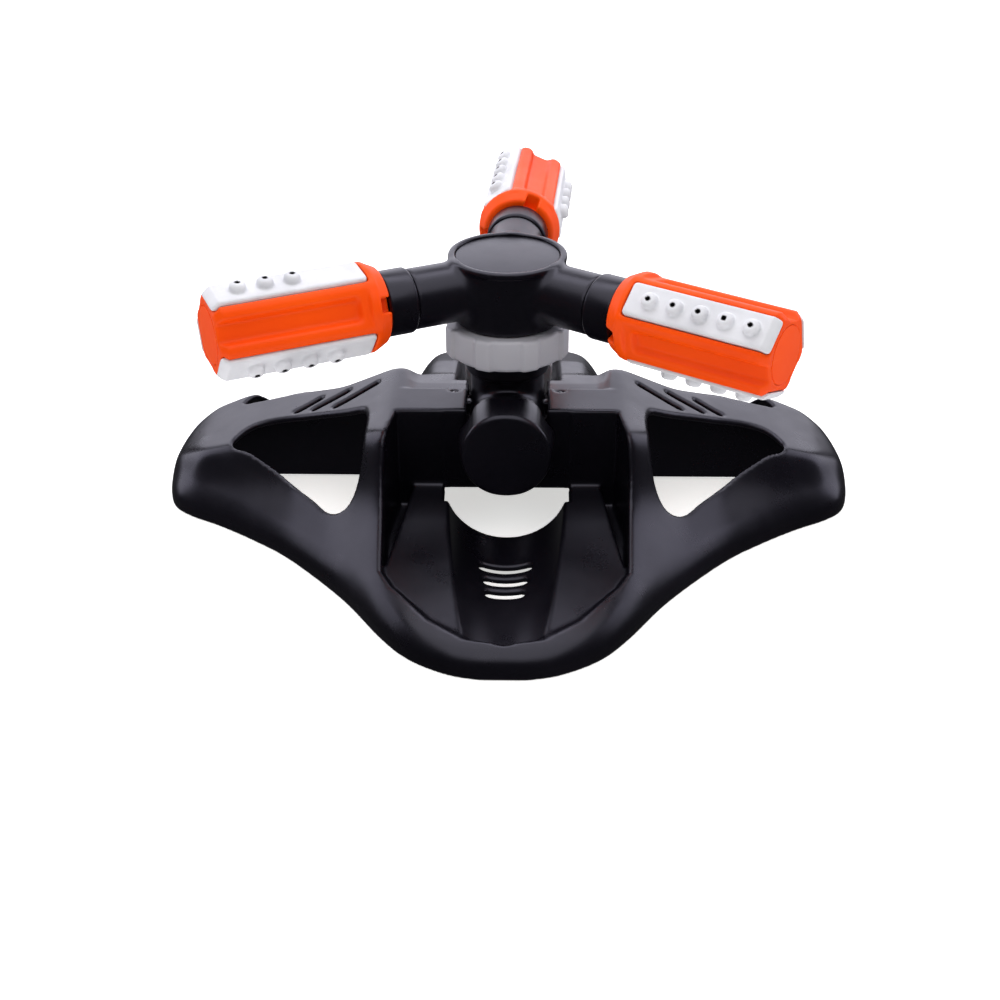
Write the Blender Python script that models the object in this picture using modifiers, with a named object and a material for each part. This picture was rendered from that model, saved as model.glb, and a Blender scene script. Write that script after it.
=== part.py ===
"""Three-arm rotating lawn sprinkler on a moulded base, as separate parts.

Frame: metres, +Z up, origin on the ground under the rotor axis, +Y towards the
hose inlet at the back, X across the two side lobes. Sizes below are in millimetres.
"""

import math

import bmesh
import bpy
import numpy as np
from mathutils import Matrix, Vector
from mathutils.geometry import delaunay_2d_cdt

MM = 0.001

# ---------------------------------------------------------------- driving sizes
GAP = 0.3                 # clearance between neighbouring pieces
TOTAL_HEIGHT = 100.0      # ground to the rim of the rotor hub
WALL = 2.4                # skin thickness of the base
RIM_HEIGHT = 7.0          # upright edge round the base
RIM_WALL = 2.4
SHELF_Z = 50.0            # flat top of the base beside the post
GRID = 9.5                # spacing of the free points of the base skin
STEP = 0.15               # half the plan width of an upright wall's draft
FLUTED_STEPS = 48         # points round a fluted edge

ARM_Z = 89.5              # height of the three arm axes
ARM_AZIMUTHS = {"back": 86.0, "left": 206.0, "right": 326.0}
ARM_ROLLS = {"back": 293.0, "left": 82.0, "right": 13.0}   # where each 3-nozzle strip faces
STUB_R, STUB_END = 10.1, 36.0
SPIGOT_R, SPIGOT_END, ARM_BORE_R = 7.2, 61.0, 4.2
SLEEVE_R, SLEEVE_END = 10.8, 46.2

BARREL_START, BARREL_END = 46.5, 104.0
BARREL_APOTHEM = 13.15
BARREL_BORE_R = 7.6
SEAT_APOTHEM = 11.4       # flat under each nozzle strip
STRIP_WIDTH, STRIP_TOP = 11.5, 14.5
STRIP_START = 52.7
NOZZLE_PITCH = 8.9
NOZZLE_ROWS = {3: 76.0, 4: 66.2, 5: 61.0}   # nozzles in a strip: distance of the first
NOZZLE_BASE_R, NOZZLE_TIP_R, NOZZLE_HEIGHT, NOZZLE_HOLE_R = 2.4, 1.5, 2.5, 0.75

TUBE_Z = 41.0             # axis of the water tube through the base
TUBE_R = 13.0
CAP_FRONT, CAP_BACK, CAP_R = -35.0, -20.0, 16.2
NUT_FRONT, NUT_BACK, NUT_R = 28.0, 50.0, 16.5
HEAD_TOP = 70.0           # top of the manifold's threaded head
RING_BOTTOM, RING_TOP, RING_R = 65.0, 76.4, 21.8
HUB_R = 20.0
SCREW_X, SCREW_Y = 18.5, -1.0
LUG_BOTTOM = 42.1          # the screws' heads bear on the lugs from below

# Plan of the base, right half, from the front point round to the back one.
OUTLINE_FRONT = [(0, -105), (9, -104.6), (19, -101.6), (30.5, -94), (40, -82.4), (54.4, -60),
                 (74.7, -35.5), (89, -22.8), (103, -12.5), (114.5, -5.5), (121.5, 1.5)]
OUTLINE_TIP = [(124.6, 12), (124.6, 26), (121.5, 41)]
OUTLINE_REAR = [(114, 49.5), (98, 52.6), (80, 52), (66, 56), (54, 64), (46, 74), (39, 85),
                (30, 95), (17, 102.8), (0, 105)]

# Along X: ridge height, and the front and rear edge of the flat top.
RIDGE = [(0, 50), (40, 50), (59, 40), (75, 33), (96, 26), (112, 19), (121, 12), (125, 8)]
FLAT_FRONT = [(0, -35), (42, -35), (50, -28), (60, -15), (75, -6), (95, -2), (112, 4), (125, 16)]
FLAT_REAR = [(0, 18), (35, 18), (60, 24), (75, 32), (96, 40), (112, 36), (125, 22)]
TONGUE_TOP = [(-20, 50), (8, 50), (40, 42.5), (75, 31), (90, 24), (99, 16), (105, 7)]

# Well in front of the post: plan, ramps, trough and the pockets beside the ramps.
WELL = [(0, -18), (37.6, -18), (41, -38), (40.2, -66), (36.5, -73), (24, -88), (13, -96), (0, -98.6)]
RAMP = [(-18, 21), (-27, 20), (-67, 14), (-91, 10.5), (-105, 9)]
POCKET_DROP = 8.0
TROUGH_R, TROUGH_Z = 21.0, 26.5
CHANNEL_R, CHANNEL_FRONT, CHANNEL_BACK = 18.0, 14.0, 99.0
POST_HOLE_HALF, POST_HOLE_FRONT, POST_HOLE_BACK = 14.0, -15.9, 16.0
FLOOR_HOLE_HALF, FLOOR_HOLE_FRONT, FLOOR_HOLE_BACK = 21.5, -27.0, -17.8
SADDLE_R, SADDLE_FOOT = 13.75, 19.6   # the bulkhead wall under the water tube

# Openings of the right wing in plan; the left wing mirrors them.
WING_OPENING = [(98, 8), (91, 14.4), (76, 10.5), (56, -2), (49, -9), (48.4, -28), (53, -35),
                (60, -32.5), (68, -22.5), (79, -10.5), (91, -2.5), (98, 2)]
WING_SLOTS = [((62, 7), (46, 11)), ((70.4, 12), (57, 16.5)), ((77.4, 15.4), (67.7, 20))]
HALF_MOON = [(77, 33), (98, 36), (97, 41), (92, 43.6), (85, 42), (79.5, 38)]
TROUGH_SLOTS = [(-48.75, 18.0), (-56.75, 14.7), (-64.25, 13.0)]   # Y, length across
SLOT_WIDTH, TROUGH_SLOT_WIDTH = 2.2, 4.5
RIB_Y, RIB_START, RIB_END, RIB_FOOT = 26.0, 44.0, 100.0, 1.0

# ---------------------------------------------------------------- scene set-up


def clear_scene():
    for obj in list(bpy.data.objects):
        bpy.data.objects.remove(obj)


def new_collection(name):
    coll = bpy.data.collections.new(name)
    bpy.context.scene.collection.children.link(coll)
    return coll


def material(name, colour, roughness, metallic=0.0):
    mat = bpy.data.materials.new(name)
    mat.use_nodes = True
    shader = mat.node_tree.nodes["Principled BSDF"]
    shader.inputs["Base Color"].default_value = (*colour, 1.0)
    shader.inputs["Roughness"].default_value = roughness
    shader.inputs["Metallic"].default_value = metallic
    return mat


clear_scene()
PARTS = new_collection("lawn_sprinkler")
CUTTERS = new_collection("cutters")
CUTTERS.hide_render = True

BLACK = material("black_plastic", (0.012, 0.011, 0.016), 0.32)
GREY = material("grey_plastic", (0.36, 0.36, 0.38), 0.4)
ORANGE = material("orange_plastic", (0.95, 0.13, 0.01), 0.38)
WHITE = material("nozzle_rubber", (0.75, 0.75, 0.78), 0.55)
SEAL = material("seal_rubber", (0.02, 0.02, 0.02), 0.7)
STEEL = material("screw_steel", (0.25, 0.25, 0.26), 0.4, 1.0)
SCREEN = material("filter_screen", (0.8, 0.8, 0.82), 0.5)


# ---------------------------------------------------------------- object helpers


def add_object(name, mesh, mat=None, collection=None):
    obj = bpy.data.objects.new(name, mesh)
    (collection or PARTS).objects.link(obj)
    if mat:
        mesh.materials.append(mat)
    return obj


def mesh_from_bmesh(name, bm):
    bmesh.ops.recalc_face_normals(bm, faces=bm.faces)
    mesh = bpy.data.meshes.new(name)
    bm.to_mesh(mesh)
    bm.free()
    mesh.shade_smooth()
    mesh.set_sharp_from_angle(angle=math.radians(35))
    return mesh


def as_operand(obj):
    """Mark an object as one that is only added to or cut from a part."""
    obj.hide_render = True
    obj.display_type = "WIRE"
    return obj


def boolean(target, operand, operation="DIFFERENCE"):
    mod = target.modifiers.new(operand.name, "BOOLEAN")
    mod.operation = operation
    mod.solver = "EXACT"
    mod.object = operand


AXIS_TURN = {
    "Z": Matrix.Identity(4),
    "X": Matrix.Rotation(math.radians(90), 4, "Y"),
    "Y": Matrix.Rotation(math.radians(-90), 4, "X"),
}


def turned(name, profile, axis="Z", steps=24, mat=None, collection=None, closed=True):
    """Turn a profile of (radius, position along the axis) points.

    The points run from the top down the outer side. A closed profile is a ring;
    an open one starts and ends on the axis.
    """
    bm = bmesh.new()
    verts = [bm.verts.new((r * MM, 0, z * MM)) for r, z in profile]
    for a, b in zip(verts, verts[1:]):
        bm.edges.new((a, b))
    if closed:
        bm.edges.new((verts[-1], verts[0]))
    mesh = bpy.data.meshes.new(name)
    bm.to_mesh(mesh)
    bm.free()
    obj = add_object(name, mesh, mat, collection)
    screw = obj.modifiers.new("turn", "SCREW")
    screw.steps = steps
    screw.render_steps = steps
    screw.use_merge_vertices = True
    screw.merge_threshold = 0.00001
    obj.matrix_world = AXIS_TURN[axis]
    return obj


def cylinder_profile(radius, low, high):
    return [(0, high), (radius, high), (radius, low), (0, low)]


def rod(name, radius, low, high, axis="Z", steps=24, collection=None):
    return turned(name, cylinder_profile(radius, low, high), axis, steps,
                  collection=collection, closed=False)


def box(name, low, high, collection=None, mat=None):
    bm = bmesh.new()
    bmesh.ops.create_cube(bm, size=1.0)
    size = [(b - a) * MM for a, b in zip(low, high)]
    middle = [(a + b) / 2 * MM for a, b in zip(low, high)]
    bmesh.ops.scale(bm, vec=size, verts=bm.verts)
    bmesh.ops.translate(bm, vec=middle, verts=bm.verts)
    return add_object(name, mesh_from_bmesh(name, bm), mat, collection)


def fluted(name, radius, depth, count, width, low, high, axis, mat, lean=0.0, crown=0.6, turn=0.0):
    """A disc with hollows round its edge, eased at both faces; lean narrows the low end."""
    bm = bmesh.new()
    rings = []
    levels = [(low, crown + lean), (low + crown, lean), (high - crown, 0), (high, crown)]
    for level, inset in levels:
        ring = []
        for i in range(FLUTED_STEPS):
            angle = 2 * math.pi * i / FLUTED_STEPS
            period = 2 * math.pi / count
            off = (angle - turn + period / 2) % period - period / 2
            hollow = math.cos(min(abs(off) / width, 1.0) * math.pi / 2) ** 0.7 * depth
            r = radius - inset - hollow
            ring.append(bm.verts.new((r * math.cos(angle) * MM, r * math.sin(angle) * MM, level * MM)))
        rings.append(ring)
    for lower, upper in zip(rings, rings[1:]):
        for i in range(FLUTED_STEPS):
            j = (i + 1) % FLUTED_STEPS
            bm.faces.new((lower[i], lower[j], upper[j], upper[i]))
    bm.faces.new(rings[0][::-1])
    bm.faces.new(rings[-1])
    obj = add_object(name, mesh_from_bmesh(name, bm), mat)
    obj.matrix_world = AXIS_TURN[axis]
    return obj


def disc(name, radius, front, back, sides, mat, collection=None):
    """A plain disc across the water tube, between two places along Y."""
    bm = bmesh.new()
    bmesh.ops.create_cone(bm, cap_ends=True, segments=sides, radius1=radius * MM, radius2=radius * MM,
                          depth=(back - front) * MM)
    obj = add_object(name, mesh_from_bmesh(name, bm), mat, collection)
    obj.matrix_world = Matrix.Translation((0, (front + back) / 2 * MM, TUBE_Z * MM)) @ AXIS_TURN["Y"]
    return obj


def torus(name, ring_r, cord_r, mat):
    bpy.ops.mesh.primitive_torus_add(major_radius=ring_r * MM, minor_radius=cord_r * MM,
                                     major_segments=20, minor_segments=6)
    obj = bpy.context.object
    obj.name = name
    obj.data.materials.append(mat)
    for coll in list(obj.users_collection):
        coll.objects.unlink(obj)
    PARTS.objects.link(obj)
    return obj


# ---------------------------------------------------------------- plan curves


def table(points, x):
    xs, ys = zip(*points)
    return np.interp(x, xs, ys)


def mirror_x(points):
    """A closed loop from a half loop that starts and ends on X = 0."""
    return points + [(-x, y) for x, y in points[-2:0:-1]]


def smooth_loop(points, steps=3):
    """A closed Catmull-Rom curve through the points."""
    pts = [np.array(p, float) for p in points]
    n = len(pts)
    out = []
    for i in range(n):
        p0, p1, p2, p3 = (pts[(i + k - 1) % n] for k in range(4))
        for s in range(steps):
            t = s / steps
            point = 0.5 * (2 * p1 + (p2 - p0) * t + (2 * p0 - 5 * p1 + 4 * p2 - p3) * t ** 2
                           + (3 * p1 - p0 - 3 * p2 + p3) * t ** 3)
            out.append(tuple(point))
    return out


def offset_loop(points, distance):
    """Move a counter-clockwise loop outwards."""
    out = []
    n = len(points)
    for i in range(n):
        before = Vector(points[i]) - Vector(points[i - 1])
        after = Vector(points[(i + 1) % n]) - Vector(points[i])
        normal_a = Vector((before.y, -before.x)).normalized()
        normal_b = Vector((after.y, -after.x)).normalized()
        middle = (normal_a + normal_b).normalized()
        reach = distance / max(middle.dot(normal_a), 0.5)
        out.append((points[i][0] + middle.x * reach, points[i][1] + middle.y * reach))
    return out


def counter_clockwise(points):
    area = sum(a[0] * b[1] - b[0] * a[1] for a, b in zip(points, points[1:] + points[:1]))
    return points if area > 0 else points[::-1]


def inside(points, x, y):
    """Even-odd test of arrays x, y against a closed loop."""
    result = np.zeros(np.shape(x), bool)
    for (x0, y0), (x1, y1) in zip(points, points[1:] + points[:1]):
        if y0 == y1:
            continue
        crosses = (y0 > y) != (y1 > y)
        at = x0 + (y - y0) * (x1 - x0) / (y1 - y0)
        result ^= crosses & (x < at)
    return result


def distance_to(points, x, y):
    best = np.full(np.shape(x), 1e9)
    for (x0, y0), (x1, y1) in zip(points, points[1:] + points[:1]):
        dx, dy = x1 - x0, y1 - y0
        t = np.clip(((x - x0) * dx + (y - y0) * dy) / (dx * dx + dy * dy), 0, 1)
        best = np.minimum(best, np.hypot(x - x0 - t * dx, y - y0 - t * dy))
    return best


def capsule(start, end, width, steps=5):
    """Outline of a round-ended slot in plan."""
    a, b = np.array(start, float), np.array(end, float)
    heading = math.atan2(*(b - a)[::-1])
    points = []
    for centre, turn in ((b, -math.pi / 2), (a, math.pi / 2)):
        for i in range(steps):
            angle = heading + turn + math.pi * i / (steps - 1)
            points.append((centre[0] + width / 2 * math.cos(angle),
                           centre[1] + width / 2 * math.sin(angle)))
    return points


def circle_loop(x, y, radius, steps=10):
    return [(x + radius * math.cos(2 * math.pi * i / steps), y + radius * math.sin(2 * math.pi * i / steps))
            for i in range(steps)]


def both_sides(points):
    return [list(points), [(-x, y) for x, y in reversed(points)]]


# ---------------------------------------------------------------- base shell

OUTLINE = counter_clockwise(smooth_loop(mirror_x(OUTLINE_FRONT + OUTLINE_TIP + OUTLINE_REAR), 2))
WELL_LOOP = counter_clockwise(mirror_x(WELL))
CHANNEL_LOOP = [(-CHANNEL_R, CHANNEL_FRONT), (CHANNEL_R, CHANNEL_FRONT),
                (CHANNEL_R, CHANNEL_BACK), (-CHANNEL_R, CHANNEL_BACK)]
SADDLE_LOOP = [(-SADDLE_R - STEP, -18.5), (SADDLE_R + STEP, -18.5),
               (SADDLE_R + STEP, -15.2), (-SADDLE_R - STEP, -15.2)]


def rim_curve(side):
    """The outline's front (-1) or rear (1) edge as Y over |X|."""
    points = {}
    for x, y in OUTLINE:
        if x >= 0 and side * (y - 19) >= 0:
            points[round(x, 3)] = y
    return sorted(points.items())


RIM_FRONT, RIM_REAR = rim_curve(-1), rim_curve(1)


def flank(t):
    """Height share from the rim (0) to the flat top (1): long foot, steep shoulder."""
    t = np.clip(t, 0, 1)
    return 0.6 * t ** 0.9 + 0.4 * t ** 8


def hill(x, y):
    """Top surface without the well and the hose channel."""
    ax = np.abs(x)
    rise = table(RIDGE, ax) - RIM_HEIGHT
    rim_front, rim_rear = table(RIM_FRONT, ax), table(RIM_REAR, ax)
    flat_front, flat_rear = table(FLAT_FRONT, ax), table(FLAT_REAR, ax)
    front = flank((y - rim_front) / np.maximum(flat_front - rim_front, 1))
    rear = flank((rim_rear - y) / np.maximum(rim_rear - flat_rear, 1))
    wing = RIM_HEIGHT + rise * np.minimum(front, rear)
    edge = distance_to(OUTLINE, x, y)
    side = np.clip((43 - ax) / 12, 0, 1)
    side = side * side * (3 - 2 * side)
    tongue = RIM_HEIGHT + (table(TONGUE_TOP, y) - RIM_HEIGHT) * side * flank(0.35 + edge / 30)
    tongue = np.where(y > -10, tongue, 0)
    return np.maximum(wing, tongue)


def well_floor(x, y):
    """Ramps, the pockets outside them, and the half-round trough between them."""
    ax = np.abs(x)
    ramp = table(sorted(RAMP), y)
    ramp_edge = np.interp(y, [-66, -18], [40, 32.4])
    ramp = np.where((ax > ramp_edge) & (y > -66), ramp - POCKET_DROP, ramp)
    trough = TROUGH_Z - np.sqrt(np.maximum(TROUGH_R ** 2 - ax ** 2, 0))
    return np.where(ax < TROUGH_R, np.minimum(ramp, trough), ramp)


def channel_floor(x, radius):
    return TUBE_Z - np.sqrt(np.maximum(radius ** 2 - np.abs(x) ** 2, 0))


def top_surface(x, y):
    z = hill(x, y)
    z = np.where(inside(CHANNEL_LOOP, x, y), np.minimum(z, channel_floor(x, CHANNEL_R)), z)
    z = np.where(inside(SADDLE_LOOP, x, y), channel_floor(x, SADDLE_R), z)
    return np.where(inside(WELL_LOOP, x, y), well_floor(x, y), z)


WELL_BELOW = offset_loop(WELL_LOOP, WALL)
CHANNEL_BELOW = offset_loop(CHANNEL_LOOP, WALL)
RIB = [(RIB_START, RIB_Y - 1.1), (RIB_END, RIB_Y - 1.1), (RIB_END, RIB_Y + 1.1), (RIB_START, RIB_Y + 1.1)]


def bottom_surface(x, y):
    """Inner skin: the top surface moved in by the wall, and the two wing ribs."""
    e = 0.5
    slope = np.hypot(hill(x + e, y) - hill(x - e, y), hill(x, y + e) - hill(x, y - e)) / (2 * e)
    z = hill(x, y) - WALL * np.sqrt(1 + np.minimum(slope, 1.5) ** 2)
    below = channel_floor(x, CHANNEL_R + WALL)
    z = np.where(inside(CHANNEL_BELOW, x, y), np.minimum(z, below), z)
    z = np.where(inside(WELL_BELOW, x, y), well_floor(x, y) - WALL, z)
    z = np.where((np.abs(x) < FLOOR_HOLE_HALF + 1) & (np.abs(y + 17) < 1.25), SADDLE_FOOT, z)
    for rib in both_sides(RIB):
        z = np.where(inside(rib, x, y), RIB_FOOT, z)
    return np.maximum(z, RIB_FOOT)


def base_holes():
    across = [-SADDLE_R, -12.6, -10.2, -7, -3.5, 0, 3.5, 7, 10.2, 12.6, SADDLE_R]
    floor = [(-FLOOR_HOLE_HALF, FLOOR_HOLE_FRONT), (FLOOR_HOLE_HALF, FLOOR_HOLE_FRONT),
             (FLOOR_HOLE_HALF, FLOOR_HOLE_BACK)]
    floor += [(x, FLOOR_HOLE_BACK) for x in reversed(across)] + [(-FLOOR_HOLE_HALF, FLOOR_HOLE_BACK)]
    post = [(-POST_HOLE_HALF, POST_HOLE_FRONT)] + [(x, POST_HOLE_FRONT) for x in across[1:-1]]
    post += [(POST_HOLE_HALF, POST_HOLE_FRONT), (POST_HOLE_HALF, POST_HOLE_BACK),
             (-POST_HOLE_HALF, POST_HOLE_BACK)]
    holes = [floor, post]
    holes += both_sides(counter_clockwise(smooth_loop(WING_OPENING, 2)))
    holes += both_sides(counter_clockwise(HALF_MOON))
    for start, end in WING_SLOTS:
        holes += both_sides(counter_clockwise(capsule(start, end, SLOT_WIDTH)))
    for y, length in TROUGH_SLOTS:
        half = (length - TROUGH_SLOT_WIDTH) / 2
        holes.append(counter_clockwise(capsule((-half, y), (half, y), TROUGH_SLOT_WIDTH)))
    holes += both_sides(circle_loop(SCREW_X, SCREW_Y, 1.6))
    return holes


def base_shell():
    """Two skins over one triangulated plan, joined round the rim and every opening."""
    holes = base_holes()
    inner_rim = offset_loop(OUTLINE, -RIM_WALL)
    loops = [OUTLINE, inner_rim] + holes
    for loop in [WELL_LOOP, WELL_BELOW, CHANNEL_LOOP, CHANNEL_BELOW, SADDLE_LOOP] + both_sides(RIB):
        loops += [offset_loop(loop, -STEP), offset_loop(loop, STEP)]
    lines = []
    ys = np.linspace(FLOOR_HOLE_FRONT + 1, -92, 8)
    crease = np.sqrt(TROUGH_R ** 2 - (TROUGH_Z - table(sorted(RAMP), ys)) ** 2)
    for share in (-1, -0.75, -0.4, 0, 0.4, 0.75, 1):
        lines.append([(share * c, y) for c, y in zip(crease, ys)])
    for x in (-16, -11.5, -6, 0, 6, 11.5, 16):
        lines.append([(x, y) for y in np.linspace(POST_HOLE_BACK - 1, CHANNEL_BACK - 3, 9)])
    for sign in (-1, 1):
        for shift in (-STEP, STEP):
            lines.append([(sign * (32.4 + shift), -19), (sign * (39.8 + shift), -65.8)])

    points = []
    edges = []
    for loop in loops:
        first = len(points)
        points += loop
        edges += [(first + i, first + (i + 1) % len(loop)) for i in range(len(loop))]
    for line in lines:
        first = len(points)
        points += line
        edges += [(first + i, first + i + 1) for i in range(len(line) - 1)]
    xs, ys = np.meshgrid(np.arange(-120, 121, GRID), np.arange(-100, 101, GRID))
    xs, ys = xs.ravel(), ys.ravel()
    clear = np.full(xs.shape, 1e9)
    for loop in loops:
        clear = np.minimum(clear, distance_to(loop, xs, ys))
    keep = inside(inner_rim, xs, ys) & (clear > GRID * 0.4)
    points += list(zip(xs[keep], ys[keep]))

    plan, _, faces, _, _, _ = delaunay_2d_cdt([Vector(p) for p in points], edges, [], 0, 1e-4)
    px = np.array([p.x for p in plan])
    py = np.array([p.y for p in plan])
    corners = np.array(faces)
    cx, cy = px[corners].mean(axis=1), py[corners].mean(axis=1)
    solid = inside(OUTLINE, cx, cy)
    for hole in holes:
        solid &= ~inside(hole, cx, cy)
    within = solid & inside(inner_rim, cx, cy)
    return build_shell(px, py, corners[solid], corners[within])


def build_shell(px, py, upper, lower):
    bm = bmesh.new()
    tops, bottoms = {}, {}
    high, low = top_surface(px, py), bottom_surface(px, py)
    for i in np.unique(upper):
        tops[i] = bm.verts.new((px[i] * MM, py[i] * MM, high[i] * MM))
    for i in np.unique(lower):
        bottoms[i] = bm.verts.new((px[i] * MM, py[i] * MM, min(low[i], high[i] - 1.2) * MM))
    for tri in upper:
        bm.faces.new([tops[i] for i in tri])
    for tri in lower:
        bm.faces.new([bottoms[i] for i in reversed(tri)])

    upper_edge, lower_edge = open_edges(upper), open_edges(lower)
    for edge in upper_edge & lower_edge:
        a, b = edge
        bm.faces.new((tops[b], tops[a], bottoms[a], bottoms[b]))
    feet = {}
    for group, skin in ((upper_edge - lower_edge, tops), (lower_edge - upper_edge, bottoms)):
        for edge in group:
            for i in edge:
                if i not in feet:
                    feet[i] = bm.verts.new((px[i] * MM, py[i] * MM, 0))
            a, b = edge
            if skin is tops:
                bm.faces.new((tops[b], tops[a], feet[a], feet[b]))
            else:
                bm.faces.new((bottoms[a], bottoms[b], feet[b], feet[a]))
    ring = [tri for tri in map(tuple, upper) if tri not in set(map(tuple, lower))]
    for tri in ring:
        if all(i in feet for i in tri):
            bm.faces.new([feet[i] for i in reversed(tri)])
    return add_object("base_shell", mesh_from_bmesh("base_shell", bm), BLACK)


def open_edges(triangles):
    """Directed edges that only one triangle uses."""
    directed = set()
    for a, b, c in triangles:
        directed |= {(a, b), (b, c), (c, a)}
    return {(a, b) for a, b in directed if (b, a) not in directed}


# ---------------------------------------------------------------- post and seals


def manifold():
    """Water tube along Y with an upright stem, its threaded head and two screw lugs."""
    stem = turned("manifold_body", [
        (0, HEAD_TOP), (17.6, HEAD_TOP), (17.6, 65.4), (14.4, 64.7), (14.4, 58.5), (12.7, 57.2),
        (12.7, TUBE_Z - 5.3), (0, TUBE_Z - 5.3)], closed=False, mat=BLACK)
    tube = turned("manifold_tube", [
        (0, 37), (11.5, 37), (11.5, 35), (9, 35), (9, 26.5), (TUBE_R, 26.5), (TUBE_R, -19.6),
        (10.9, -19.6), (10.9, -31.5), (0, -31.5)], axis="Y", closed=False, collection=CUTTERS)
    tube.location.z = TUBE_Z * MM
    boolean(stem, as_operand(tube), "UNION")
    for side in (-1, 1):
        x0, x1 = sorted((side * 10.5, side * 22.3))
        lug = box(f"manifold_lug_{side}", (x0, -6.2, LUG_BOTTOM), (x1, 5.8, 47.3), CUTTERS)
        boolean(stem, as_operand(lug), "UNION")
    for side in (-1, 1):
        hole = rod(f"lug_hole_{side}", 1.45, 40, 48, steps=12, collection=CUTTERS)
        hole.location = (side * SCREW_X * MM, SCREW_Y * MM, 0)
        boolean(stem, as_operand(hole))
    stem_bore = turned("stem_bore", [(0, 71), (8.2, 71), (8.2, 57.9), (6, 56.1), (6, 38.7), (0, 38.7)],
                       closed=False, collection=CUTTERS)
    boolean(stem, as_operand(stem_bore))
    tube_bore = turned("tube_bore", [(0, 38), (6.8, 38), (6.8, 24), (8.5, 22), (8.5, -32), (0, -32)],
                       axis="Y", closed=False, collection=CUTTERS)
    tube_bore.location.z = TUBE_Z * MM
    boolean(stem, as_operand(tube_bore))


def manifold_screws():
    for side, name in ((-1, "left"), (1, "right")):
        screw = turned(f"manifold_screw_{name}", [
            (0, 49.2), (1.15, 48.4), (1.15, LUG_BOTTOM - GAP), (2.6, LUG_BOTTOM - GAP), (2.6, 40.9),
            (1.8, 40.3), (0, 40.3)], steps=16, mat=STEEL, closed=False)
        screw.location = (side * SCREW_X * MM, SCREW_Y * MM, 0)


def retaining_ring():
    ring = fluted("retaining_ring", RING_R, 0.9, 8, math.radians(16), RING_BOTTOM, RING_TOP, "Z",
                  GREY)
    bore = turned("ring_bore", [
        (0, 78), (14.2, 78), (14.2, 75.2), (18.2, 75.2), (18.2, 64), (0, 64)],
        closed=False, collection=CUTTERS)
    boolean(ring, as_operand(bore))


def spindle_seals():
    turned("thrust_washer_lower", [(16.4, 71.5), (16.4, 70.3), (8.5, 70.3), (8.5, 71.5)], mat=WHITE)
    turned("thrust_washer_upper", [(17.6, 74.9), (17.6, 73.9), (14.3, 73.9), (14.3, 74.9)], mat=WHITE)
    torus("spindle_o_ring", 7.1, 0.8, SEAL).location.z = 64 * MM


def outlet_cap():
    cap = fluted("outlet_cap", CAP_R, 1.2, 6, math.radians(24), CAP_FRONT, CAP_BACK, "Y", BLACK,
                 lean=1.0, crown=0.7, turn=math.radians(30))
    cap.location.z = TUBE_Z * MM
    bore = rod("cap_bore", 11.3, -33, -19, axis="Y", collection=CUTTERS)
    bore.location.z = TUBE_Z * MM
    boolean(cap, as_operand(bore))
    gasket = turned("outlet_gasket", [(10.9, -31.8), (10.9, -32.7), (8.2, -32.7), (8.2, -31.8)],
                    axis="Y", mat=SEAL)
    gasket.location.z = TUBE_Z * MM


def inlet():
    nut = fluted("inlet_nut", NUT_R, 0.8, 12, math.radians(10), NUT_FRONT, NUT_BACK, "Y", GREY)
    nut.location.z = TUBE_Z * MM
    bore = turned("nut_bore", [
        (0, 51), (13.2, 51), (13.2, 33.5), (9.4, 33.5), (9.4, 27), (0, 27)],
        axis="Y", closed=False, collection=CUTTERS)
    bore.location.z = TUBE_Z * MM
    boolean(nut, as_operand(bore))
    washer = turned("inlet_washer", [(12.8, 39.7), (12.8, 37.3), (7, 37.3), (7, 39.7)],
                    axis="Y", mat=SEAL)
    washer.location.z = TUBE_Z * MM
    screen = disc("inlet_filter", 12.6, 40.0, 41.2, 24, SCREEN)
    for ring_r, count in ((4.4, 5), (9.2, 10)):
        for i in range(count):
            angle = 2 * math.pi * (i + 0.5) / count
            hole = disc(f"filter_hole_{count}_{i}", 1.2, 39, 42, 8, None, CUTTERS)
            hole.location.x = ring_r * math.cos(angle) * MM
            hole.location.z += ring_r * math.sin(angle) * MM
            boolean(screen, as_operand(hole))


# ---------------------------------------------------------------- rotor


def arm_frame(name):
    """Matrix of an arm: X outwards along its axis, Z up."""
    turn = Matrix.Rotation(math.radians(ARM_AZIMUTHS[name]), 4, "Z")
    return Matrix.Translation((0, 0, ARM_Z * MM)) @ turn


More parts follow.
